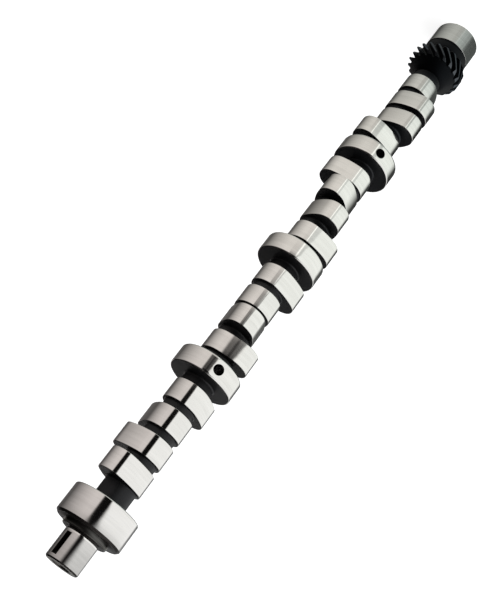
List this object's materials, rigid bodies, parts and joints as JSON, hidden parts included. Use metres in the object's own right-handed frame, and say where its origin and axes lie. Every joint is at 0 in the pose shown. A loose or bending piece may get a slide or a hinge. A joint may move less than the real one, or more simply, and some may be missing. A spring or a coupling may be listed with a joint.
{
  "type": "camshaft",
  "caption": "Camshaft of an overhead-valve V8 engine: keyed snout, thrust collar, bearing journals, roller cam lobes and a helical drive gear, turned and ground from one bar.",
  "frame": {"origin": "centre of the rear face, on which the shaft stands", "axes": "+Z along the shaft towards the snout, +Y straight up in the engine with cylinder 1 at firing top dead centre"},
  "size_m": [0.0506, 0.0506, 0.5518],
  "materials": {
    "steel": "ground bright on journals, lobes and snout; black phosphate on the bar, side faces and gear"
  },
  "bodies": {
    "root": {"camshaft": "steel"}
  },
  "joints": []
}
